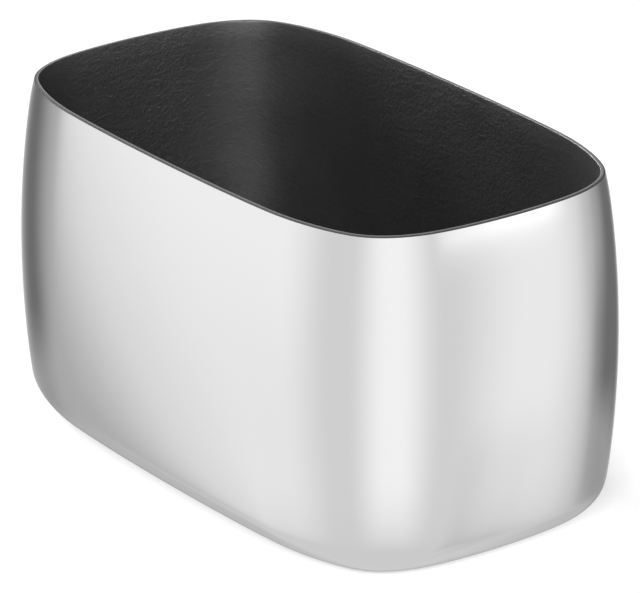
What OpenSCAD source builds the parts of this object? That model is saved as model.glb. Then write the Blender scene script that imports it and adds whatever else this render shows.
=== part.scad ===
// Double-wall table holder for sugar packets.
// A barrel-sided outer shell and a nearly straight liner are welded together at the rim.
// A pressed plate closes the foot, and a grip pad lies in the recess under it.
// One outline of sixteen tangent arcs runs round the rim. Each wall is a section that follows it.

/* [Rim outline] */
// Length over the outer edge of the rim
rim_length = 100; // [92:1:112]
// Width over the outer edge of the rim
rim_width = 58; // [53:1:66]
// Outline radius in the middle of a corner
corner_radius = 11; // [10:0.5:14]
// Outline radius between a corner and an end
end_blend_radius = 21; // [18:1:25]
// Outline radius between a corner and a long side
side_blend_radius = 46; // [38:1:54]
// Direction in degrees, from the long axis, where the bow of an end stops
end_bow_angle = 7.5; // [6:0.5:9]
// Direction in degrees where the end blend meets the corner
end_blend_angle = 31; // [28:1:34]
// Direction in degrees where the corner meets the side blend
corner_angle = 66; // [62:1:69]
// Direction in degrees where the bow of a long side starts
side_blend_angle = 87; // [86:0.5:88]

/* [Outer shell] */
// Height from the foot to the rim
shell_height = 56; // [50:1:62]
// Height of the widest level above the foot
belly_height = 27; // [23:1:31]
// Wall radius, seen from the side, above the widest level
upper_wall_radius = 152; // [120:2:220]
// Wall radius, seen from the side, below the widest level
lower_wall_radius = 160; // [120:2:220]
// Outer radius of the turned-in foot
foot_radius = 6; // [5:0.5:7]
// Width of the flat land inside the foot
foot_land = 2; // [1.5:0.1:2.5]
// Thickness of the outer sheet
shell_sheet = 0.5; // [0.4:0.05:0.7]
// Rounding along the outer edge of the lip
lip_rounding = 0.2; // [0.1:0.05:0.3]

/* [Inner liner] */
// Gap between the floor of the liner and the panel of the base plate
floor_gap = 3.9; // [1.5:0.1:9]
// Thickness of the liner sheet
liner_sheet = 0.4; // [0.3:0.05:0.6]
// How much further in the wall is at the floor than at the weld
floor_inset = 0.9; // [0.4:0.1:1.6]
// Radius between the liner wall and the floor
liner_floor_radius = 5; // [4:0.5:6]
// Height of the band that is welded to the shell
weld_band = 1.2; // [0.8:0.1:2]
// Rounding along the inner edge of the lip
liner_lip_rounding = 0.12; // [0.08:0.02:0.2]

/* [Base] */
// Thickness of the base plate
plate_sheet = 0.6; // [0.4:0.05:0.8]
// Gap between the edge of the plate and the bend of the foot
plate_clearance = 0.3; // [0.2:0.05:0.5]
// Distance from the edge of the foot land to the step in the plate
plate_step_inset = 0.5; // [0.3:0.1:0.8]
// Thickness of the grip pad
pad_thickness = 1.5; // [1.4:0.1:2]
// How far the pad stands below the foot
pad_proud = 0.4; // [0.3:0.05:0.6]
// Gap between the pad and the step in the plate
pad_clearance = 0.3; // [0.2:0.05:0.5]
// Bevel along the lower edge of the pad
pad_bevel = 0.3; // [0.1:0.05:0.4]

/* [Hidden] */
$fn = 240;

// How far a cutting shape runs past what it cuts
overrun = 1;
// Step of the coarse move in shift(), as a share of a millimetre
coarse_share = 0.01;
// How far a flat core reaches under the ring that follows the outline
core_lap = 0.3;
// How far in from the edge of the flat the section of that ring ends
section_lap = 2 * core_lap;
// Straight edges of a core for each arc of the outline
core_edges = 3;
// Slope in degrees of the step in the base plate
step_slope = 45;

half_length = rim_length / 2;
half_width = rim_width / 2;

// Levels, from the surface that the holder stands on
foot_z = pad_proud;
plate_z = foot_z + shell_sheet;
belly_z = foot_z + belly_height;
rim_z = foot_z + shell_height;
panel_z = pad_thickness;
floor_z = panel_z + plate_sheet + floor_gap + liner_sheet;

// The quadrant from the end to the long side: the arcs change at these directions.
angles = [0, end_bow_angle, end_blend_angle, corner_angle, side_blend_angle, 90];
LAST = len(angles) - 2;
// Lengths that an arc covers along X and along Y, for each millimetre of its radius
function run_x(i) = cos(angles[i]) - cos(angles[i + 1]);
function run_y(i) = sin(angles[i + 1]) - sin(angles[i]);
// Radii of the three arcs between the bow of an end and the bow of a long side
blends = [end_blend_radius, corner_radius, side_blend_radius];
// The two bows take what these arcs leave of the half length and half width.
left_x = half_length - blends * [run_x(1), run_x(2), run_x(3)];
left_y = half_width - blends * [run_y(1), run_y(2), run_y(3)];
bow_share = run_x(0) * run_y(LAST) - run_x(LAST) * run_y(0);
end_bow_radius = (left_x * run_y(LAST) - left_y * run_x(LAST)) / bow_share;
side_bow_radius = (left_y * run_x(0) - left_x * run_y(0)) / bow_share;
radii = [end_bow_radius, each blends, side_bow_radius];
function toward(angle) = [cos(angle), sin(angle)];
function arc_centre(i) =
    i == 0
        ? [half_length - radii[0], 0]
        : arc_centre(i - 1) + (radii[i - 1] - radii[i]) * toward(angles[i]);

// Section sizes: X is the distance out from the outer edge of the rim, Y is the height.
upper_rise = rim_z - belly_z;
belly_overhang = upper_wall_radius - sqrt(pow(upper_wall_radius, 2) - pow(upper_rise, 2));
upper_centre = [belly_overhang - upper_wall_radius, belly_z];
lower_centre = [belly_overhang - lower_wall_radius, belly_z];
foot_angle = -asin((belly_height - foot_radius) / (lower_wall_radius - foot_radius));
foot_centre = lower_centre + (lower_wall_radius - foot_radius) * toward(foot_angle);
land_x = foot_centre[0] - foot_land;
lip_angle = asin((upper_rise - lip_rounding) / (upper_wall_radius - lip_rounding));
lip_centre = upper_centre + (upper_wall_radius - lip_rounding) * toward(lip_angle);

cavity_radius = upper_wall_radius - shell_sheet - liner_sheet;
weld_rise = upper_rise - weld_band;
weld_angle = asin(weld_rise / cavity_radius);
weld_point = upper_centre + cavity_radius * toward(weld_angle);
liner_drop = weld_point[1] - floor_z;
liner_angle = -atan(floor_inset / liner_drop);
floor_bend = weld_point + [
    (liner_drop - liner_floor_radius) * tan(liner_angle) - liner_floor_radius / cos(liner_angle),
    liner_floor_radius - liner_drop
];
inner_lip_angle = asin((upper_rise - liner_lip_rounding) / (cavity_radius + liner_lip_rounding));
inner_lip_centre = upper_centre + (cavity_radius + liner_lip_rounding) * toward(inner_lip_angle);

plate_edge_x = foot_centre[0] - plate_clearance;
plate_rise = panel_z - plate_z;
step_x = land_x - plate_step_inset;
panel_x = step_x - plate_rise / tan(step_slope);
pad_x = panel_x - pad_clearance;

// Moves by whole hundredths of a millimetre first and by the small rest after. Both moves are then
// exact, so the faces in which two arcs of a wall meet are one face.
module shift(by) {
    coarse = [for (b = by) round(b / coarse_share) * coarse_share];
    translate(coarse)
        translate(by - coarse)
            children();
}

// One arc of the outline, with the section given as a child
module along_arc(i, from, sweep) {
    shift(arc_centre(i))
        rotate_extrude(start = from, angle = sweep)
            shift([radii[i], 0])
                children();
}

// The section carried round the whole outline
module along_outline() {
    for (side = [0, 1])
        mirror([side, 0, 0])
            along_arc(0, -angles[1], 2 * angles[1])
                children();
    for (side = [0, 1])
        mirror([0, side, 0])
            along_arc(LAST, angles[LAST], 2 * (90 - angles[LAST]))
                children();
    for (end = [0, 1], side = [0, 1])
        mirror([end, 0, 0])
            mirror([0, side, 0])
                for (i = [1 : LAST - 1])
                    along_arc(i, angles[i], angles[i + 1] - angles[i])
                        children();
}

// Points round the quadrant at a distance out from the rim's edge
function quadrant(out) = [
    for (i = [0 : LAST], k = [0 : core_edges - 1])
        let (sweep = angles[i + 1] - angles[i])
            arc_centre(i) + (radii[i] + out) * toward(angles[i] + sweep * k / core_edges)
];
function mirrored(points, flip) = [for (p = points) [p[0] * flip[0], p[1] * flip[1]]];
function reversed(points) = [for (i = [len(points) - 1 : -1 : 0]) points[i]];

// Flat middle of a floor, plate or pad, inside the ring that follows the outline
module core(flat_x, bottom, thickness) {
    q = quadrant(flat_x - core_lap);
    side_point = [0, half_width + flat_x - core_lap];
    half = concat(q, [side_point], mirrored(reversed(q), [-1, 1]));
    off_axis = [for (i = [1 : len(half) - 2]) half[i]];
    translate([0, 0, bottom])
        linear_extrude(thickness)
            polygon(concat(half, mirrored(reversed(off_axis), [1, -1])));
}

// Part of a section between two heights, as far in as the given X
module band(inner_x, bottom, top) {
    translate([inner_x, bottom])
        square([belly_overhang + overrun - inner_x, top - bottom]);
}

// What lies outside a rounding, between its two tangent directions
module outside_rounding(centre, radius, from, to) {
    shift(centre)
        difference() {
            polygon([[0, 0], for (turn = [from, (from + to) / 2, to]) 2 * radius * toward(turn)]);
            circle(radius);
        }
}

// All that lies inside the shell's outer face moved in by a distance. A cut runs past the wall's ends.
module inside_shell(inset, past) {
    inner_x = land_x - past;
    difference() {
        union() {
            intersection() {
                shift(upper_centre)
                    circle(upper_wall_radius - inset);
                band(inner_x, belly_z, rim_z + past);
            }
            intersection() {
                shift(lower_centre)
                    circle(lower_wall_radius - inset);
                band(inner_x, foot_z + inset, belly_z);
            }
        }
        outside_rounding(foot_centre, foot_radius - inset, -90, foot_angle);
    }
}

module shell_section() {
    difference() {
        inside_shell(0, 0);
        inside_shell(shell_sheet, overrun);
        outside_rounding(lip_centre, lip_rounding, lip_angle, 90);
    }
}

// All that lies inside the liner's outer face moved in by a distance. A cut runs past the wall's ends.
module inside_liner(inset, past) {
    grow = liner_sheet - inset;
    up = weld_band + past;
    inner_x = floor_bend[0] - section_lap - past - weld_point[0];
    difference() {
        intersection() {
            shift(upper_centre)
                circle(cavity_radius + grow);
            shift(weld_point + [grow / cos(liner_angle), 0])
                polygon([
                    [inner_x - grow, -liner_drop - grow],
                    [-floor_inset * (liner_drop + grow) / liner_drop, -liner_drop - grow],
                    [floor_inset * up / liner_drop, up],
                    [inner_x - grow, up]
                ]);
        }
        outside_rounding(floor_bend, liner_floor_radius + grow, -90, liner_angle);
    }
}

module liner_section() {
    difference() {
        inside_liner(0, 0);
        inside_liner(liner_sheet, overrun);
        outside_rounding(inner_lip_centre, liner_lip_rounding, 90, 180 + inner_lip_angle);
    }
}

// Edge on the foot land, the step and the start of the raised panel
module plate_section() {
    bend = plate_sheet * tan(step_slope / 2);
    inner_x = panel_x - section_lap;
    polygon([
        [plate_edge_x, plate_z],
        [plate_edge_x, plate_z + plate_sheet],
        [step_x + bend, plate_z + plate_sheet],
        [panel_x + bend, panel_z + plate_sheet],
        [inner_x, panel_z + plate_sheet],
        [inner_x, panel_z],
        [panel_x, panel_z],
        [step_x, plate_z]
    ]);
}

module pad_section() {
    inner_x = pad_x - pad_bevel - section_lap;
    polygon([
        [inner_x, 0],
        [pad_x - pad_bevel, 0],
        [pad_x, pad_bevel],
        [pad_x, pad_thickness],
        [inner_x, pad_thickness]
    ]);
}

// Mirror-polished outer wall with its rounded lip and turned-in foot
module outer_shell() {
    color("gainsboro")
        along_outline()
            shell_section();
}

// Black coated tub that holds the packets
module inner_liner() {
    color("#2b2b2d") {
        along_outline()
            liner_section();
        core(floor_bend[0], floor_z - liner_sheet, liner_sheet);
    }
}

// Pressed plate that closes the foot from inside
module base_plate() {
    color("silver") {
        along_outline()
            plate_section();
        core(panel_x, panel_z, plate_sheet);
    }
}

// Grip pad that the holder stands on
module base_pad() {
    color("#1c1c1e") {
        along_outline()
            pad_section();
        core(pad_x - pad_bevel, 0, pad_thickness);
    }
}

outer_shell();
inner_liner();
base_plate();
base_pad();
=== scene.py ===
import math
from typing import NamedTuple

import bmesh
import bpy
import numpy as np
from bpy.props import FloatProperty, FloatVectorProperty, IntProperty, PointerProperty
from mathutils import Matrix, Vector


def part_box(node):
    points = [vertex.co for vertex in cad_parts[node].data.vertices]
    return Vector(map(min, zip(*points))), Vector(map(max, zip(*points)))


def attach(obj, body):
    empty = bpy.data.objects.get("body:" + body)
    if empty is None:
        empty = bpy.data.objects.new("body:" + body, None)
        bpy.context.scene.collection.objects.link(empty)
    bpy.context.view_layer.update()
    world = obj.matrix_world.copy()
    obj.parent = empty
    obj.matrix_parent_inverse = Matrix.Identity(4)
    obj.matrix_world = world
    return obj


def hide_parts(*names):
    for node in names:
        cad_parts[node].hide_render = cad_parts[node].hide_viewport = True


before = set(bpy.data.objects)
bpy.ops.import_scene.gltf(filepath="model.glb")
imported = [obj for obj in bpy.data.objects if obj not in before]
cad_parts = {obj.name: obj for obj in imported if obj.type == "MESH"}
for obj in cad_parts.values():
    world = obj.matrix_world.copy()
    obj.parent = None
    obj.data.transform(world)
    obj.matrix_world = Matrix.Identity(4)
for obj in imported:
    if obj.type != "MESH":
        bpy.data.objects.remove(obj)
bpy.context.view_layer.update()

bl_info = {
    "name": "Sugar Packet Holder",
    "version": (1, 0, 0),
    "blender": (4, 5, 0),
    "location": "View3D > Sidebar > Holder",
    "description": "Builds the walls, base and finishes of a double-wall sugar packet holder",
    "category": "Add Mesh",
}

SHELL_LOW, SHELL_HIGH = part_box("outer_shell")
LINER_LOW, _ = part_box("inner_liner")
PAD_LOW, PAD_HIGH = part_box("base_pad")

MM = 0.001
QUARTER = math.pi / 2


def size(name, description, default):
    """A length in metres that a user can change."""
    return FloatProperty(
        name=name,
        description=description,
        default=default,
        unit="LENGTH",
        subtype="DISTANCE",
        precision=5,
        min=0.0,
    )


def tint(name, description, default):
    """A colour that a user can change."""
    return FloatVectorProperty(
        name=name,
        description=description,
        default=default,
        subtype="COLOR",
        size=3,
        min=0.0,
        max=1.0,
    )


def share(name, description, default):
    """A number from 0 to 1 that a user can change."""
    return FloatProperty(
        name=name, description=description, default=default, min=0.0, max=1.0, precision=3
    )


def turn(name, description, default):
    """An angle that a user can change, with its default in degrees."""
    return FloatProperty(
        name=name, description=description, default=math.radians(default), subtype="ANGLE"
    )


class HolderSizes(bpy.types.PropertyGroup):
    """Sizes of the sheets and of the curves that they are drawn to"""

    end_radius: size(
        "End Radius", "Radius of the rim's outline in the middle of a short end", 99.5 * MM
    )
    end_blend_radius: size("End Blend Radius", "Radius between a short end and a corner", 21 * MM)
    corner_radius: size("Corner Radius", "Radius in the middle of a corner", 11 * MM)
    side_blend_radius: size("Side Blend Radius", "Radius between a corner and a long side", 46 * MM)
    side_radius: size("Side Radius", "Radius in the middle of a long side", 553 * MM)
    end_turn: turn("End Turn", "Direction in which the end goes over into its blend", 7.5)
    end_blend_turn: turn(
        "End Blend Turn", "Direction in which the blend goes over into the corner", 31
    )
    side_blend_turn: turn(
        "Side Blend Turn", "Direction in which the corner goes over into the side blend", 66
    )
    side_turn: turn("Side Turn", "Direction in which the blend goes over into the long side", 87)
    outline_points: IntProperty(
        name="Outline Points", description="Points in a quarter of the outline", default=112, min=16
    )

    belly_height: size("Belly Height", "Height of the widest level above the foot", 27 * MM)
    shoulder_turn: turn(
        "Shoulder Turn", "Slope of the wall where it goes over into the shoulder under the rim", 8.7
    )
    shoulder_radius: size("Shoulder Radius", "Wall radius in the shoulder", 30 * MM)
    upper_radius: size(
        "Upper Wall Radius", "Wall radius between the widest level and the shoulder", 174 * MM
    )
    lower_radius: size("Lower Wall Radius", "Wall radius below the widest level", 160 * MM)
    foot_turn: turn("Foot Turn", "Slope of the wall where it goes over into the foot", 7.84)
    foot_radius: size("Foot Radius", "Outer radius of the turned-in foot", 6 * MM)
    foot_land: size("Foot Land", "Width of the flat land inside the foot", 2 * MM)
    shell_sheet: size("Shell Sheet", "Thickness of the outer sheet", 0.42 * MM)
    lip_rounding: size("Lip Rounding", "Rounding along the outer edge of the lip", 0.23 * MM)

    liner_sheet: size("Liner Sheet", "Thickness of the liner sheet", 0.3 * MM)
    floor_inset: size(
        "Floor Inset",
        "How much further in the liner wall is at the floor than at the weld",
        0.9 * MM,
    )
    floor_radius: size("Floor Radius", "Radius between the liner wall and its floor", 5 * MM)
    weld_band: size("Weld Band", "Height of the band that is welded to the shell", 1.2 * MM)
    # The bright line is a painted highlight along the inside of the lip.
    bright_line: size(
        "Bright Line", "Width of the bright line along the inside of the lip", 0.16 * MM
    )
    liner_lip_rounding: size(
        "Liner Lip Rounding", "Rounding along the inner edge of the lip", 0.12 * MM
    )
    mouth_flare: turn("Mouth Flare", "How far the liner opens outward just under the lip", 6)
    mouth_radius: size("Mouth Radius", "Radius of the liner's flared mouth", 38 * MM)

    pad_rounding: size("Pad Rounding", "Rounding along the lower edge of the grip pad", 0.3 * MM)


class HolderFinishes(bpy.types.PropertyGroup):
    """Colours and surface qualities of the finishes"""

    polish: tint("Polish", "Colour of the mirror-polished steel", (0.85, 0.85, 0.85))
    polish_roughness: share("Polish Roughness", "Roughness of the mirror polish", 0.06)
    ground: tint("Ground Lip", "Colour of the ground lip", (0.52, 0.52, 0.52))
    ground_roughness: share("Ground Roughness", "Roughness of the ground lip", 0.34)
    coating: tint("Coating", "Colour of the black coating", (0.005, 0.005, 0.0051))
    coating_roughness: share("Coating Roughness", "Roughness of the black coating", 0.46)
    wrinkle: size("Wrinkle", "Distance between the wrinkles of the coating", 0.9 * MM)
    wrinkle_height: size("Wrinkle Height", "Height of the wrinkles", 0.21 * MM)
    steel: tint("Plain Steel", "Colour of the satin steel", (0.55, 0.55, 0.55))
    rubber: tint("Rubber", "Colour of the grip pad", (0.03, 0.03, 0.03))


class StudioSetup(bpy.types.PropertyGroup):
    """Camera and floor"""

    azimuth: turn("Azimuth", "Direction of the camera round the holder", 53.62)
    elevation: turn("Elevation", "Height of the camera above the horizon", 22.02)
    distance: size("Distance", "Distance of the camera from the middle of the holder", 791 * MM)
    lens: FloatProperty(
        name="Lens", description="Focal length in millimetres", default=280.4, min=1.0
    )
    shift_x: FloatProperty(name="Shift X", description="Sideways shift of the lens", default=0.0115)
    shift_y: FloatProperty(name="Shift Y", description="Upward shift of the lens", default=-0.0138)
    floor_reach: size("Floor Reach", "Half the width of the floor", 8.0)
    floor_glow: share(
        "Floor Glow", "How far the floor is white by itself, which softens the holder's shadow", 0.5
    )
    floor_colour: tint("Floor", "Colour of the floor", (0.93, 0.93, 0.93))


class Bow:
    """A curve whose radius changes gently between its stretches, so a mirror shows no break.

    It starts in the direction 0 and turns to the last angle. The run is how far it has gone along
    its first direction, and the dip how far it has bent away from it.
    """

    FINE = 2000

    def __init__(self, stop, radii, turns, softness):
        self.angle = np.linspace(0, stop, self.FINE)
        root = np.full(self.FINE, math.sqrt(radii[0]))
        for before, after, at, soft in zip(radii, radii[1:], turns, softness):
            t = np.clip((self.angle - at + soft) / (2 * soft), 0, 1)
            root += (math.sqrt(after) - math.sqrt(before)) * t ** 3 * (t * (6 * t - 15) + 10)
        radius = root ** 2
        step = np.diff(self.angle)
        middle = (self.angle[1:] + self.angle[:-1]) / 2
        self.length = np.concatenate([[0], np.cumsum((radius[1:] + radius[:-1]) / 2 * step)])
        self.run = np.concatenate([[0], np.cumsum(np.diff(self.length) * np.cos(middle))])
        self.dip = np.concatenate([[0], np.cumsum(np.diff(self.length) * np.sin(middle))])

    def spaced(self, points, run_of_a_turn):
        """Places along the curve that are closer together where it turns more."""
        effort = self.angle + self.length / run_of_a_turn
        return np.interp(np.linspace(0, effort[-1], points), effort, np.arange(self.FINE))

    def at(self, places, *values):
        return [np.interp(places, np.arange(self.FINE), v) for v in values]


class Outline:
    """The outer edge of the rim, once round, as points with their outward normals."""

    # A turn of one radian gets as many points as this much straight rim
    RUN_OF_A_TURN = 20 * MM
    # Half of the turn over which each radius goes over into the next
    SOFTNESS = [math.radians(a) for a in (7.5, 15, 15, 3)]

    def __init__(self, half_length, half_width, sizes):
        s = sizes
        bow = Bow(
            QUARTER,
            [s.end_radius, s.end_blend_radius, s.corner_radius, s.side_blend_radius, s.side_radius],
            [s.end_turn, s.end_blend_turn, s.side_blend_turn, s.side_turn],
            self.SOFTNESS,
        )
        wide, deep = half_length / bow.dip[-1], half_width / bow.run[-1]
        places = bow.spaced(s.outline_points + 1, self.RUN_OF_A_TURN)
        dip, run, angle = bow.at(places, bow.dip, bow.run, bow.angle)
        normal = np.column_stack([np.cos(angle) * deep, np.sin(angle) * wide])
        normal /= np.linalg.norm(normal, axis=1)[:, None]
        self.points = self.all_round(np.column_stack([half_length - dip * wide, run * deep]))
        self.normals = self.all_round(normal)

    @staticmethod
    def all_round(quarter):
        """The whole loop from the quarter between the +X end and the +Y side."""
        half = np.vstack([quarter, quarter[-2::-1] * [-1, 1]])
        return np.vstack([half, half[-2:0:-1] * [1, -1]])


def arc(centre, radius, start, stop, steps):
    """Points of a section on an arc, with angles from the outward direction."""
    return [
        (centre[0] + radius * math.cos(a), centre[1] + radius * math.sin(a))
        for a in np.linspace(start, stop, steps + 1)
    ]


class Section:
    """Points of a wall's section, each with how far out from the rim it is and how high.

    The share of a point draws it in towards the middle of the holder: 1 on a wall, 0 in the middle.
    Each stretch between two points has a finish.
    """

    FLAT_SHARES = (0.97, 0.9, 0.75, 0.55, 0.3, 0.0)

    def __init__(self):
        self.points = []
        self.finishes = []

    def run(self, finish, points, shared=1.0):
        """Go on through the points, except where one lies on the last."""
        for out, height in points:
            point = (out, height, shared)
            if self.points and np.allclose(point, self.points[-1], atol=1e-9):
                continue
            if self.points:
                self.finishes.append(finish)
            self.points.append(point)

    def flat(self, finish, out, height, inward=True):
        """A level stretch between the wall and the middle."""
        shares = self.FLAT_SHARES if inward else self.FLAT_SHARES[::-1]
        for s in shares:
            self.run(finish, [(out, height)], s)


# Edges that turn by more than this stay sharp
SHARP_TURN = math.radians(28)


def swept(name, outline, section, finishes, closed):
    """A mesh object with the section carried round the outline."""
    count = len(outline.points)
    out, height, shared = np.array(section.points).T
    rings = outline.points[None] + out[:, None, None] * outline.normals[None]
    rings = rings * shared[:, None, None]
    mesh = bpy.data.meshes.new(name)
    bm = bmesh.new()
    rows = []
    for ring, z, s in zip(rings, height, shared):
        if s == 0:
            rows.append([bm.verts.new((0, 0, z))] * count)
        else:
            rows.append([bm.verts.new((x, y, z)) for x, y in ring])
    pairs = list(zip(rows, rows[1:], section.finishes))
    if closed:
        pairs.append((rows[-1], rows[0], section.finishes[-1]))
    order = list(finishes)
    for lower, upper, finish in pairs:
        for i in range(count):
            j = (i + 1) % count
            corners = dict.fromkeys([lower[i], lower[j], upper[j], upper[i]])
            face = bm.faces.new(list(corners))
            face.material_index = order.index(finish)
            face.smooth = True
    bmesh.ops.recalc_face_normals(bm, faces=bm.faces)
    bm.to_mesh(mesh)
    bm.free()
    mesh.set_sharp_from_angle(angle=SHARP_TURN)
    for finish in order:
        mesh.materials.append(finishes[finish])
    piece = bpy.data.objects.new(name, mesh)
    bpy.context.scene.collection.objects.link(piece)
    return piece


class Walls:
    """Heights and sections of the shell, the liner and the pad, from the frame and the sizes."""

    # How far the shell stays inside its CAD box
    INSIDE_BOX = 0.004 * MM
    # A turn of one radian gets as many points as this much straight wall
    RUN_OF_A_TURN = 45 * MM
    # Slope at which the shoulder's curve ends, well above the rim
    SHOULDER_STOP = math.radians(30)
    # Half of the turn over which the wall goes over into the shoulder, and into the foot
    SHOULDER_SOFTNESS = [math.radians(4)]
    FOOT_SOFTNESS = [math.radians(5)]

    POLISH_POINTS = 110
    SHELL_INSIDE_POINTS = 40
    WELD_POINTS = 4
    LIP_STEPS = 8
    FLARE_STEPS = 10
    OUTER_BEND_STEPS = 10
    BEND_STEPS = 16
    PAD_STEPS = 6

    def __init__(self, sizes):
        s = self.sizes = sizes
        self.foot = SHELL_LOW.z
        self.rim = SHELL_HIGH.z
        self.belly = self.foot + s.belly_height
        self.floor = LINER_LOW.z + s.liner_sheet
        above = Bow(
            self.SHOULDER_STOP,
            [s.upper_radius, s.shoulder_radius],
            [s.shoulder_turn],
            self.SHOULDER_SOFTNESS,
        )
        below = Bow(QUARTER, [s.lower_radius, s.foot_radius], [s.foot_turn], self.FOOT_SOFTNESS)
        deep = s.belly_height / below.run[-1]
        self.overhang = float(np.interp(self.rim - self.belly, above.run, above.dip))
        self.out = self.overhang - np.concatenate([above.dip[::-1], below.dip[1:]])
        self.height = self.belly + np.concatenate([above.run[::-1], -below.run[1:] * deep])
        self.angle = np.concatenate([above.angle[::-1], -below.angle[1:]])
        self.land = self.out[-1] - s.foot_land
        self.outline = Outline(
            SHELL_HIGH.x - self.overhang - self.INSIDE_BOX,
            SHELL_HIGH.y - self.overhang - self.INSIDE_BOX,
            s,
        )

    def crossing(self, inset, height):
        """Where the face, moved in by the inset, passes a height, and its angle there."""
        heights = self.height - inset * np.sin(self.angle)
        outs = self.out - inset * np.cos(self.angle)
        out = float(np.interp(-height, -heights, outs))
        return (out, height), float(np.interp(-height, -heights, self.angle))

    def face(self, inset, upper, lower, points):
        """Points down the face, moved in by the inset, from one angle to another."""
        inside = (self.angle <= upper) & (self.angle >= lower)
        outs = (self.out - inset * np.cos(self.angle))[inside]
        heights = (self.height - inset * np.sin(self.angle))[inside]
        length = np.concatenate([[0], np.cumsum(np.hypot(np.diff(outs), np.diff(heights)))])
        effort = upper - self.angle[inside] + length / self.RUN_OF_A_TURN
        even = np.linspace(effort[0], effort[-1], points)
        return list(zip(np.interp(even, effort, outs), np.interp(even, effort, heights)))

    def shell(self):
        """Lip, outer face, foot, land and inner face."""
        s = self.sizes
        centre, lip_angle = self.crossing(s.lip_rounding, self.rim - s.lip_rounding)
        joint, joint_angle = self.crossing(s.shell_sheet, self.rim)
        inside = self.face(s.shell_sheet, joint_angle, -QUARTER, self.SHELL_INSIDE_POINTS)
        section = Section()
        section.run("ground", [joint, (centre[0], self.rim)])
        # The lip's outer rounding takes the painted shade of the dark line between the lip and the
        # polish.
        section.run("edge", arc(centre, s.lip_rounding, QUARTER, lip_angle, self.LIP_STEPS))
        section.run("polish", self.face(0, lip_angle, -QUARTER, self.POLISH_POINTS))
        section.run("polish", [(self.land, self.foot), (self.land, self.foot + s.shell_sheet)])
        section.run("steel", inside[:0:-1])
        return section

    def liner(self):
        """Underside of the floor, outer face, lip, inner face and floor."""
        s = self.sizes
        inset = s.shell_sheet + s.liner_sheet
        weld, _ = self.crossing(inset, self.rim - s.weld_band)
        lip, _ = self.crossing(inset - s.liner_lip_rounding, self.rim - s.liner_lip_rounding)
        mouth = arc(lip, s.liner_lip_rounding, QUARTER, math.pi - s.mouth_flare, self.LIP_STEPS)
        bow = (
            mouth[-1][0] + s.mouth_radius * math.cos(s.mouth_flare),
            mouth[-1][1] - s.mouth_radius * math.sin(s.mouth_flare),
        )
        drawn_in = bow[0] - s.mouth_radius - weld[0] + s.floor_inset
        lean = -math.atan(drawn_in / (bow[1] - self.floor))
        flare = arc(bow, s.mouth_radius, math.pi - s.mouth_flare, math.pi + lean, self.FLARE_STEPS)
        straight = flare[-1][1] - self.floor - s.floor_radius
        bend = (
            flare[-1][0] + straight * math.tan(lean) - s.floor_radius,
            self.floor + s.floor_radius,
        )
        outer_bend = s.floor_radius + s.liner_sheet
        _, weld_angle = self.crossing(s.shell_sheet, self.rim - s.weld_band)
        joint, joint_angle = self.crossing(s.shell_sheet, self.rim)
        welded = self.face(s.shell_sheet, joint_angle, weld_angle, self.WELD_POINTS)
        section = Section()
        section.flat("steel", bend[0], self.floor - s.liner_sheet, inward=False)
        section.run("steel", arc(bend, outer_bend, -QUARTER, lean, self.OUTER_BEND_STEPS))
        section.run("steel", welded[:0:-1] + [joint])
        section.run("ground", [(lip[0] + s.bright_line, self.rim)])
        # A narrow band of painted highlight along the inner edge of the lip.
        section.run("bright", [(lip[0], self.rim)])
        section.run("coating", mouth + flare[1:])
        section.run("coating", arc(bend, s.floor_radius, lean, -QUARTER, self.BEND_STEPS))
        section.flat("coating", bend[0], self.floor)
        return section

    def pad(self):
        """Underside with a rounded edge, side and top."""
        s = self.sizes
        side = PAD_HIGH.x - (SHELL_HIGH.x - self.overhang)
        centre = (side - s.pad_rounding, PAD_LOW.z + s.pad_rounding)
        section = Section()
        section.flat("rubber", centre[0], PAD_LOW.z, inward=False)
        section.run("rubber", arc(centre, s.pad_rounding, -QUARTER, 0, self.PAD_STEPS))
        section.run("rubber", [(side, PAD_HIGH.z)])
        section.flat("rubber", side, PAD_HIGH.z)
        return section


class Value:
    """A number that varies over a surface. Arithmetic on it adds Math nodes to its tree."""

    def __init__(self, recipe, socket):
        self.recipe = recipe
        self.socket = socket

    def math(self, operation, *values):
        node = self.recipe.add("ShaderNodeMath", {"operation": operation}, dict(enumerate(values)))
        return Value(self.recipe, node.outputs[0])

    def __add__(self, other):
        return self.math("ADD", self, other)

    def __sub__(self, other):
        return self.math("SUBTRACT", self, other)

    def __rsub__(self, other):
        return self.math("SUBTRACT", other, self)

    def __mul__(self, other):
        return self.math("MULTIPLY", self, other)

    __radd__ = __add__
    __rmul__ = __mul__

    def absolute(self):
        return self.math("ABSOLUTE", self)

    def eased(self, low, high):
        """0 at low and 1 at high, with a soft step between. Low may be the larger of the two."""
        node = self.recipe.add(
            "ShaderNodeMapRange",
            {"interpolation_type": "SMOOTHSTEP"},
            {"Value": self, "From Min": low, "From Max": high},
        )
        return Value(self.recipe, node.outputs["Result"])


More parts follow.
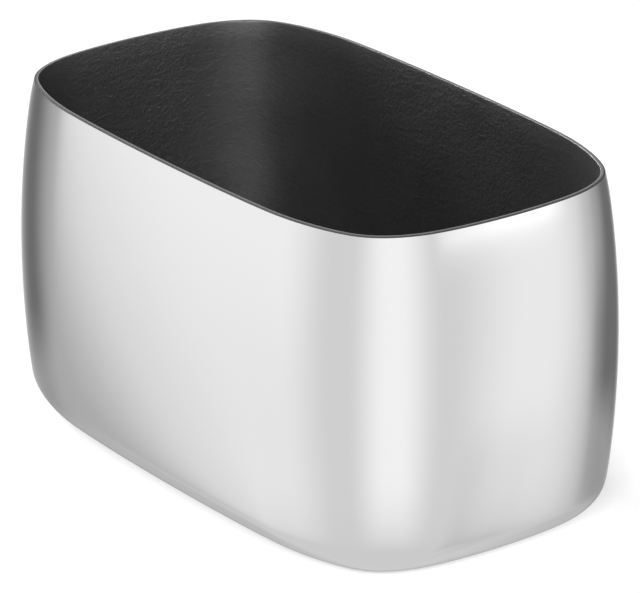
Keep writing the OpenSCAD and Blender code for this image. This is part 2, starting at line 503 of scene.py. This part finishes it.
class Recipe:
    """Adds nodes to a node tree."""

    # Places of a Mix node's colour sockets, which have the same names as its sockets for numbers
    FIRST_COLOUR = 6
    SECOND_COLOUR = 7
    MIXED_COLOUR = 2

    def __init__(self, tree):
        self.tree = tree
        tree.nodes.clear()

    def add(self, kind, settings=None, inputs=None):
        """A node of a type, with its settings made first and then its sockets set or linked."""
        node = self.tree.nodes.new(kind)
        for name, value in (settings or {}).items():
            setattr(node, name, value)
        for name, value in (inputs or {}).items():
            if isinstance(value, Value):
                value = value.socket
            if isinstance(value, bpy.types.NodeSocket):
                self.tree.links.new(value, node.inputs[name])
            else:
                node.inputs[name].default_value = value
        return node

    def value(self, node, output):
        return Value(self, node.outputs[output])

    def position(self, stretch):
        """The place on the piece in metres, squeezed along each axis."""
        place = self.add("ShaderNodeTexCoord").outputs["Object"]
        mapping = self.add("ShaderNodeMapping", None, {"Vector": place, "Scale": stretch})
        return mapping.outputs["Vector"]

    def noise(self, grain, stretch=(1, 1, 1), detail=2.0, roughness=0.5, distortion=0.0):
        """Noise from 0 to 1 whose features are about as large as the grain."""
        node = self.add(
            "ShaderNodeTexNoise",
            None,
            {
                "Vector": self.position(stretch),
                "Scale": 1 / grain,
                "Detail": detail,
                "Roughness": roughness,
                "Distortion": distortion,
            },
        )
        return self.value(node, "Fac")

    def bump(self, height, depth):
        """A normal from a height that runs from 0 to 1 and stands for a depth in metres."""
        sockets = {"Height": height, "Distance": depth, "Strength": 1.0}
        return self.add("ShaderNodeBump", None, sockets).outputs["Normal"]

    def mix(self, factor, first, second):
        """A colour between two colours."""
        node = self.add(
            "ShaderNodeMix",
            {"data_type": "RGBA"},
            {"Factor": factor, self.FIRST_COLOUR: (*first, 1), self.SECOND_COLOUR: (*second, 1)},
        )
        return node.outputs[self.MIXED_COLOUR]

    def output(self, shader, kind="ShaderNodeOutputMaterial"):
        self.add(kind, None, {"Surface": shader})


def shaded(colour, factor):
    """A colour made lighter or darker."""
    return tuple(min(1.0, c * factor) for c in colour)


def surface(name, build):
    """A material whose surface the build function makes."""
    material = bpy.data.materials.new(name)
    material.use_nodes = True
    recipe = Recipe(material.node_tree)
    shader = build(recipe)
    recipe.output(shader.outputs["BSDF"])
    return material


def mirror_steel(finishes):
    """Mirror-polished stainless steel with a faint haze and the slight waves of a pressed sheet."""

    def build(r):
        haze = r.noise(grain=14 * MM, detail=3.0)
        lines = r.noise(grain=0.5 * MM, stretch=(0.05, 0.05, 1.0))
        roughness = finishes.polish_roughness * (0.6 + 0.6 * haze + 0.2 * lines)
        wave = r.noise(grain=11 * MM, detail=0.0)
        tone = r.mix(haze, shaded(finishes.polish, 0.985), finishes.polish)
        return r.add(
            "ShaderNodeBsdfPrincipled",
            None,
            {
                "Base Color": tone,
                "Metallic": 1.0,
                "Roughness": roughness,
                "Normal": r.bump(wave, depth=0.004 * MM),
            },
        )

    return surface("mirror_steel", build)


def ground_steel(name, colour, roughness_base):
    """Steel ground along the rim, with fine scratches and a slight change of tone."""

    def build(r):
        scratches = r.noise(grain=0.09 * MM, detail=3.0)
        patches = r.noise(grain=5 * MM)
        tone = r.mix(patches, shaded(colour, 0.86), shaded(colour, 1.14))
        return r.add(
            "ShaderNodeBsdfPrincipled",
            None,
            {
                "Base Color": tone,
                "Metallic": 1.0,
                "Roughness": roughness_base * (0.8 + 0.4 * scratches),
                "Normal": r.bump(scratches, depth=0.0015 * MM),
            },
        )

    return surface(name, build)


def painted_shade_edge():
    """The rounding along the outer edge of the lip, painted dark and dull: painted shade for the
    dark line where the lip meets the polished wall.
    """

    def build(r):
        # The painted shade varies a little in tone and roughness.
        shade_speckle = r.noise(grain=0.2 * MM)
        tone = r.mix(shade_speckle, (0.035, 0.035, 0.035), (0.06, 0.06, 0.06))
        return r.add(
            "ShaderNodeBsdfPrincipled",
            None,
            {
                "Base Color": tone,
                "Metallic": 0.0,
                "Roughness": 0.5 + 0.2 * shade_speckle,
                "Specular IOR Level": 0.1,
            },
        )

    return surface("painted_shade_edge", build)


# The coating's wrinkle goes from full height to calm as x times y goes from the first to the second
CALM_CORNER = (300 * MM * MM, 850 * MM * MM)
CALM = 0.66


def black_coating(finishes):
    """Satin black coating with a fine wrinkle, which is calmer in the corners."""

    def build(r):
        wrinkle = finishes.wrinkle
        broad = r.noise(
            grain=wrinkle * 1.6, stretch=(0.6, 0.6, 1.0), roughness=0.55, distortion=0.6
        )
        fine = r.noise(grain=wrinkle * 0.55, roughness=0.6, distortion=0.4)
        place = r.add("ShaderNodeTexCoord").outputs["Object"]
        axes = r.add("ShaderNodeSeparateXYZ", None, {"Vector": place})
        corner = (r.value(axes, 0) * r.value(axes, 1)).absolute().eased(*CALM_CORNER)
        height = (0.5 * broad + 0.5 * fine) * (1 - CALM * corner)
        patches = r.noise(grain=9 * MM)
        tone = r.mix(fine, shaded(finishes.coating, 0.8), shaded(finishes.coating, 1.25))
        return r.add(
            "ShaderNodeBsdfPrincipled",
            None,
            {
                "Base Color": tone,
                "Metallic": 0.0,
                "Roughness": finishes.coating_roughness * (0.82 + 0.2 * patches + 0.16 * fine),
                "Specular IOR Level": 1.0,
                "IOR": 1.65,
                "Normal": r.bump(height, finishes.wrinkle_height),
            },
        )

    return surface("black_coating", build)


def plain_steel(finishes):
    """Satin steel as rolled, with fine lines along the length."""

    def build(r):
        lines = r.noise(grain=0.12 * MM, stretch=(0.04, 1.0, 1.0), detail=3.0)
        stain = r.noise(grain=12 * MM, detail=3.0)
        tone = r.mix(stain, shaded(finishes.steel, 0.88), shaded(finishes.steel, 1.08))
        return r.add(
            "ShaderNodeBsdfPrincipled",
            None,
            {
                "Base Color": tone,
                "Metallic": 1.0,
                "Roughness": 0.28 + 0.14 * lines,
                "Normal": r.bump(lines, depth=0.003 * MM),
            },
        )

    return surface("plain_steel", build)


def grip_rubber(finishes):
    """Matt rubber with a fine moulded grain."""

    def build(r):
        moulded = r.noise(grain=0.25 * MM, detail=3.0, roughness=0.6)
        dust = r.noise(grain=7 * MM, detail=3.0)
        tone = r.mix(dust, shaded(finishes.rubber, 0.85), shaded(finishes.rubber, 1.35))
        return r.add(
            "ShaderNodeBsdfPrincipled",
            None,
            {
                "Base Color": tone,
                "Metallic": 0.0,
                "Roughness": 0.72 + 0.16 * moulded,
                "Normal": r.bump(moulded, depth=0.02 * MM),
            },
        )

    return surface("grip_rubber", build)


def seat(piece, node):
    """The piece stands for a node, whose CAD part it hides, and moves with the holder."""
    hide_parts(node)
    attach(piece, "root")


class HOLDER_OT_outer_shell(bpy.types.Operator):
    """Build the mirror-polished outer wall"""

    bl_idname = "holder.outer_shell"
    bl_label = "Outer Shell"

    def execute(self, context):
        scene = context.scene
        walls = Walls(scene.holder_sizes)
        finishes = scene.holder_finishes
        looks = {
            "polish": mirror_steel(finishes),
            "ground": ground_steel("ground_lip", finishes.ground, finishes.ground_roughness),
            # The edge finish is the painted shade of the dark line along the lip.
            "edge": painted_shade_edge(),
            "steel": plain_steel(finishes),
        }
        piece = swept("polished_shell", walls.outline, walls.shell(), looks, closed=True)
        seat(piece, "outer_shell")
        return {"FINISHED"}


class HOLDER_OT_inner_liner(bpy.types.Operator):
    """Build the black coated tub"""

    bl_idname = "holder.inner_liner"
    bl_label = "Inner Liner"

    # The bright line along the inside of the lip is a painted highlight: the ground finish made
    # this much lighter.
    PAINTED_HIGHLIGHT_GAIN = 1.6

    def execute(self, context):
        scene = context.scene
        walls = Walls(scene.holder_sizes)
        finishes = scene.holder_finishes
        bright = shaded(finishes.ground, self.PAINTED_HIGHLIGHT_GAIN)
        looks = {
            "coating": black_coating(finishes),
            "ground": ground_steel("ground_liner_lip", finishes.ground, finishes.ground_roughness),
            "bright": ground_steel("painted_highlight_liner_edge", bright, finishes.ground_roughness),
            "steel": plain_steel(finishes),
        }
        piece = swept("coated_liner", walls.outline, walls.liner(), looks, closed=False)
        seat(piece, "inner_liner")
        return {"FINISHED"}


class HOLDER_OT_base(bpy.types.Operator):
    """Finish the base plate and build the grip pad under it"""

    bl_idname = "holder.base"
    bl_label = "Base Plate and Pad"

    def execute(self, context):
        scene = context.scene
        finishes = scene.holder_finishes
        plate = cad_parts["base_plate"]
        plate.data.materials.clear()
        plate.data.materials.append(plain_steel(finishes))
        walls = Walls(scene.holder_sizes)
        looks = {"rubber": grip_rubber(finishes)}
        pad = swept("grip_pad", walls.outline, walls.pad(), looks, closed=False)
        seat(pad, "base_pad")
        return {"FINISHED"}


class Card(NamedTuple):
    """A soft card round the holder that the polish mirrors, with all its angles in degrees.

    Its middle is counted to the right from the camera's direction, and its edges from its middle:
    it is full between left and right, and has faded out at dark_left and dark_right. Each of its
    fades goes from dark at one height above the horizon to full at another.
    """

    middle: float
    dark_left: float
    left: float
    right: float
    dark_right: float
    gain: float
    fades: tuple = ()


# Light from about the horizon and below it, which the wall mirrors
SIDE_LEVEL = 0.17
SIDE_CARDS = (
    Card(0, -140, -118, 92, 126, 0.30),
    Card(0, -121, -110, 89, 110, 0.27),
    Card(0, -117, -102, -86, -58, 0.18),
    Card(0, -45, 8, 18, 54, 0.30),
    Card(0, 56, 76, 80, 96, 0.22),
    Card(180, -35, -4, 4, 38, 0.45, ((-31, -22),)),
    Card(180, -88, -54, 40, 62, 0.19, ((-23, -27),)),
    Card(-95, -30, -10, 10, 35, 0.08, ((-26, -8),)),
    Card(68, -24, -8, 10, 20, 0.30, ((-11, 2),)),
    Card(110, -14, -3, 6, 22, 0.13, ((-21, -13),)),
)

# Light from far below, which the lower wall and the foot mirror
LOW_FADE = (-29, -44)
LOW_LEVEL = 0.7
LOW_CARDS = (Card(180, -88, -54, 40, 62, -0.15, ((-66, -43),)),)

# Two dark cards across the change from the one to the other
DARK_CARDS = (
    Card(71, -14, -3, 5, 22, -0.12, ((-22, -30), (-58, -36))),
    Card(86, -10, -3, 6, 16, -0.045, ((-42, -50), (-66, -56))),
)

# Light from above the horizon, which the inside and the lip catch
HIGH_FADE = (7, 15)
HIGH_LEVEL = 0.03
HORIZON_GLOW = 0.47
GLOW_FADE = (26, 18)
HIGH_CARDS = (
    Card(15, -120, -80, 65, 90, 0.6, ((24, 14),)),
    Card(-139, -10, -2, 2, 10, 52, ((14, 21), (43, 31))),
    Card(0, -32, -20, 20, 32, 50, ((22, 34), (44, 26))),
)

DEGREES = 180 / math.pi


class HOLDER_OT_studio(bpy.types.Operator):
    """Set up the floor, the light and the camera"""

    bl_idname = "holder.studio"
    bl_label = "Studio"

    # How far the floor lies under the pad
    FLOOR_GAP = 0.1 * MM
    NEAREST = 10 * MM

    def execute(self, context):
        scene = context.scene
        setup = scene.studio_setup
        self.floor(scene, setup)
        self.sky(scene, setup)
        self.camera(scene, setup)
        scene.view_settings.view_transform = "Standard"
        return {"FINISHED"}

    def floor(self, scene, setup):
        """A plain pale floor. The polish mirrors the cards round it instead of the floor itself."""
        reach = setup.floor_reach
        mesh = bpy.data.meshes.new("floor")
        corners = [(-reach, -reach), (reach, -reach), (reach, reach), (-reach, reach)]
        mesh.from_pydata([(x, y, -self.FLOOR_GAP) for x, y in corners], [], [(0, 1, 2, 3)])
        material = bpy.data.materials.new("pale_floor")
        material.use_nodes = True
        r = Recipe(material.node_tree)
        paint = r.add("ShaderNodeBsdfDiffuse", None, {"Color": (*setup.floor_colour, 1)})
        glow = r.add("ShaderNodeEmission", None, {"Color": (1, 1, 1, 1), "Strength": 1.0})
        seen = r.value(r.add("ShaderNodeLightPath"), "Is Camera Ray")
        soft = r.add(
            "ShaderNodeMixShader",
            None,
            {0: setup.floor_glow * seen, 1: paint.outputs[0], 2: glow.outputs[0]},
        )
        r.output(soft.outputs[0])
        mesh.materials.append(material)
        floor = bpy.data.objects.new("floor", mesh)
        floor.visible_glossy = False
        scene.collection.objects.link(floor)

    def sky(self, scene, setup):
        """Soft cards all round, and a dim sky above them with two small bright cards."""
        world = bpy.data.worlds.new("studio")
        world.use_nodes = True
        scene.world = world
        r = Recipe(world.node_tree)
        ray = r.add("ShaderNodeTexCoord").outputs["Generated"]
        axes = r.add("ShaderNodeSeparateXYZ", None, {"Vector": ray})
        x, y, z = (r.value(axes, k) for k in range(3))
        camera_side = setup.azimuth - QUARTER
        around = y.math("ARCTAN2", y, x)
        up = z.math("ARCSINE", z) * DEGREES

        def turned_from(degrees):
            """Turn in degrees from a direction that is counted from the camera's, to its right."""
            turned = around - (camera_side + math.radians(degrees))
            return turned.math("WRAP", turned, math.pi, -math.pi) * DEGREES

        def lit(level, cards):
            """The level with the light of the cards added."""
            for card in cards:
                turned = turned_from(card.middle)
                light = card.gain * turned.eased(card.dark_left, card.left)
                light = light * turned.eased(card.dark_right, card.right)
                for dark, full in card.fades:
                    light = light * up.eased(dark, full)
                level = level + light
            return level

        low = up.eased(*LOW_FADE)
        high = up.eased(*HIGH_FADE)
        level = lit(SIDE_LEVEL, SIDE_CARDS) * (1 - low) + lit(LOW_LEVEL, LOW_CARDS) * low
        level = lit(level, DARK_CARDS)
        above = lit(HIGH_LEVEL + HORIZON_GLOW * up.eased(*GLOW_FADE), HIGH_CARDS)
        level = level * (1 - high) + above * high
        background = r.add("ShaderNodeBackground", None, {"Color": (1, 1, 1, 1), "Strength": level})
        r.output(background.outputs["Background"], "ShaderNodeOutputWorld")

    def camera(self, scene, setup):
        """The photograph's view."""
        lens = bpy.data.cameras.new("camera")
        lens.lens = setup.lens
        lens.shift_x = setup.shift_x
        lens.shift_y = setup.shift_y
        lens.clip_start = self.NEAREST
        camera = bpy.data.objects.new("camera", lens)
        a, e = setup.azimuth, setup.elevation
        back = Vector((math.sin(a) * math.cos(e), -math.cos(a) * math.cos(e), math.sin(e)))
        middle = Vector((0, 0, (SHELL_LOW.z + SHELL_HIGH.z) / 2))
        camera.location = middle + back * setup.distance
        camera.rotation_euler = (-back).to_track_quat("-Z", "Y").to_euler()
        scene.collection.objects.link(camera)
        scene.camera = camera


class HOLDER_PT_sidebar(bpy.types.Panel):
    """Tools and sizes of the sugar packet holder"""

    bl_label = "Sugar Packet Holder"
    bl_idname = "HOLDER_PT_sidebar"
    bl_space_type = "VIEW_3D"
    bl_region_type = "UI"
    bl_category = "Holder"

    def draw(self, context):
        layout = self.layout
        for operator in OPERATORS:
            layout.operator(operator.bl_idname)
        for name in GROUPS:
            group = getattr(context.scene, name)
            box = layout.box()
            for value in group.bl_rna.properties.keys():
                if value not in ("rna_type", "name"):
                    box.prop(group, value)


OPERATORS = (HOLDER_OT_outer_shell, HOLDER_OT_inner_liner, HOLDER_OT_base, HOLDER_OT_studio)
GROUPS = {
    "holder_sizes": HolderSizes,
    "holder_finishes": HolderFinishes,
    "studio_setup": StudioSetup,
}
CLASSES = (*GROUPS.values(), *OPERATORS, HOLDER_PT_sidebar)


def register():
    for cls in CLASSES:
        bpy.utils.register_class(cls)
    for name, group in GROUPS.items():
        setattr(bpy.types.Scene, name, PointerProperty(type=group))


def unregister():
    for name in GROUPS:
        delattr(bpy.types.Scene, name)
    for cls in reversed(CLASSES):
        bpy.utils.unregister_class(cls)


def main():
    register()
    bpy.ops.holder.outer_shell()
    bpy.ops.holder.inner_liner()
    bpy.ops.holder.base()
    bpy.ops.holder.studio()
    bpy.context.view_layer.update()


if __name__ == "__main__":
    main()
